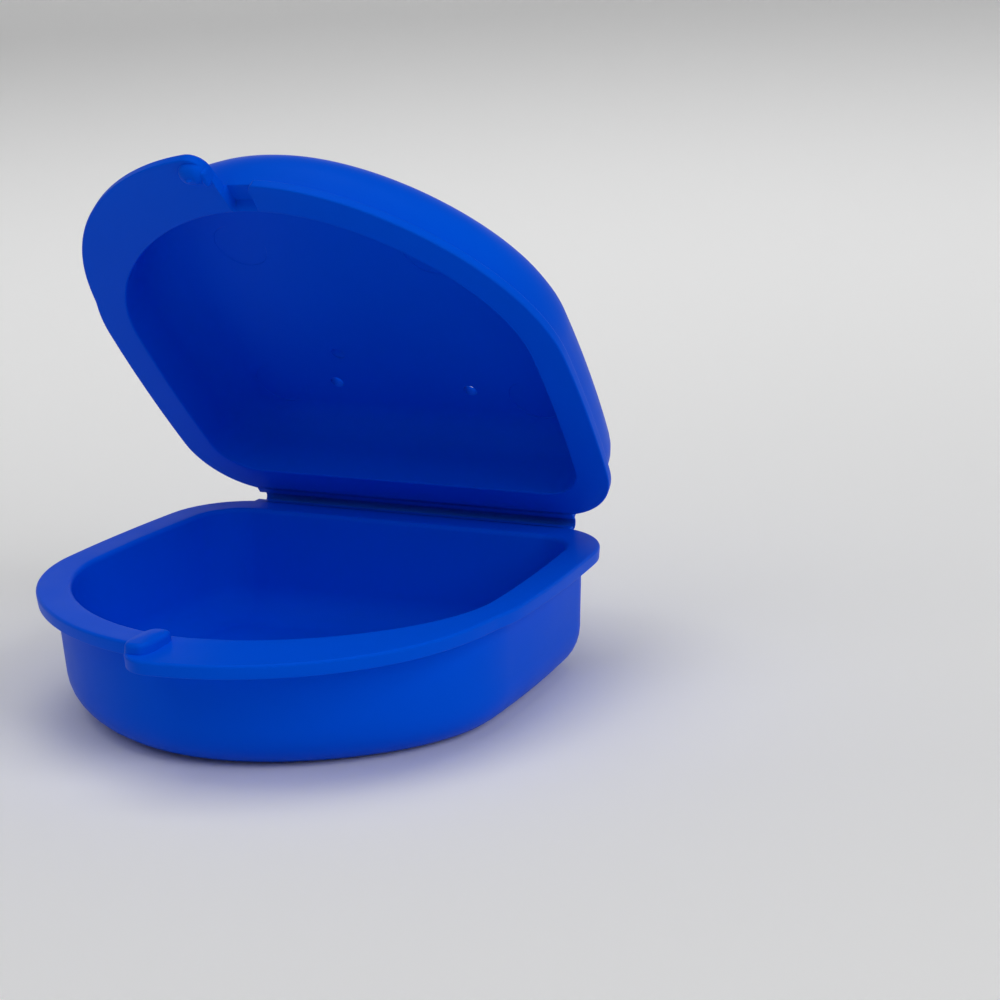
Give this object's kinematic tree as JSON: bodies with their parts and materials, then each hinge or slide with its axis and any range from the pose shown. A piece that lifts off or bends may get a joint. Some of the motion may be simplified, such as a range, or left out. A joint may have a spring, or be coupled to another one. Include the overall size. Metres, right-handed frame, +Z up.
{
  "type": "mouthguard case",
  "caption": "D-shaped hinged case for a mouthguard, with a deep base, a domed vented lid, thumb ledges and a snap latch.",
  "frame": {"origin": "middle of the flat foot under the base, where the case rests", "axes": "+X along the hinge, -Y to the latch and the thumb ledges, +Y to the hinge, +Z up out of the base"},
  "size_m": [0.076, 0.0809, 0.0807],
  "materials": {
    "case_plastic": "semi-gloss moulded polypropylene, royal blue",
    "hinge_plastic": "the same polypropylene, flexed thin and a little paler"
  },
  "bodies": {
    "base": {"base_bowl": "case_plastic", "base_rim": "case_plastic", "base_thumb_ledge": "case_plastic", "base_latch_nub": "case_plastic", "base_hinge_land": "case_plastic", "hinge_film": "hinge_plastic"},
    "lid": {"lid_dome": "case_plastic", "lid_rim": "case_plastic", "lid_thumb_ledge": "case_plastic", "lid_latch_hook": "case_plastic", "lid_hinge_land": "case_plastic", "lid_label_bar_long": "case_plastic", "lid_label_bar_short": "case_plastic"}
  },
  "joints": [
    {"name": "lid_hinge", "type": "hinge", "parent": "base", "child": "lid", "pos_m": [0, 0.03625, 0.019], "axis": [-1, 0, 0], "range_deg": [-53, 127], "deforming": ["hinge_film"]}
  ]
}
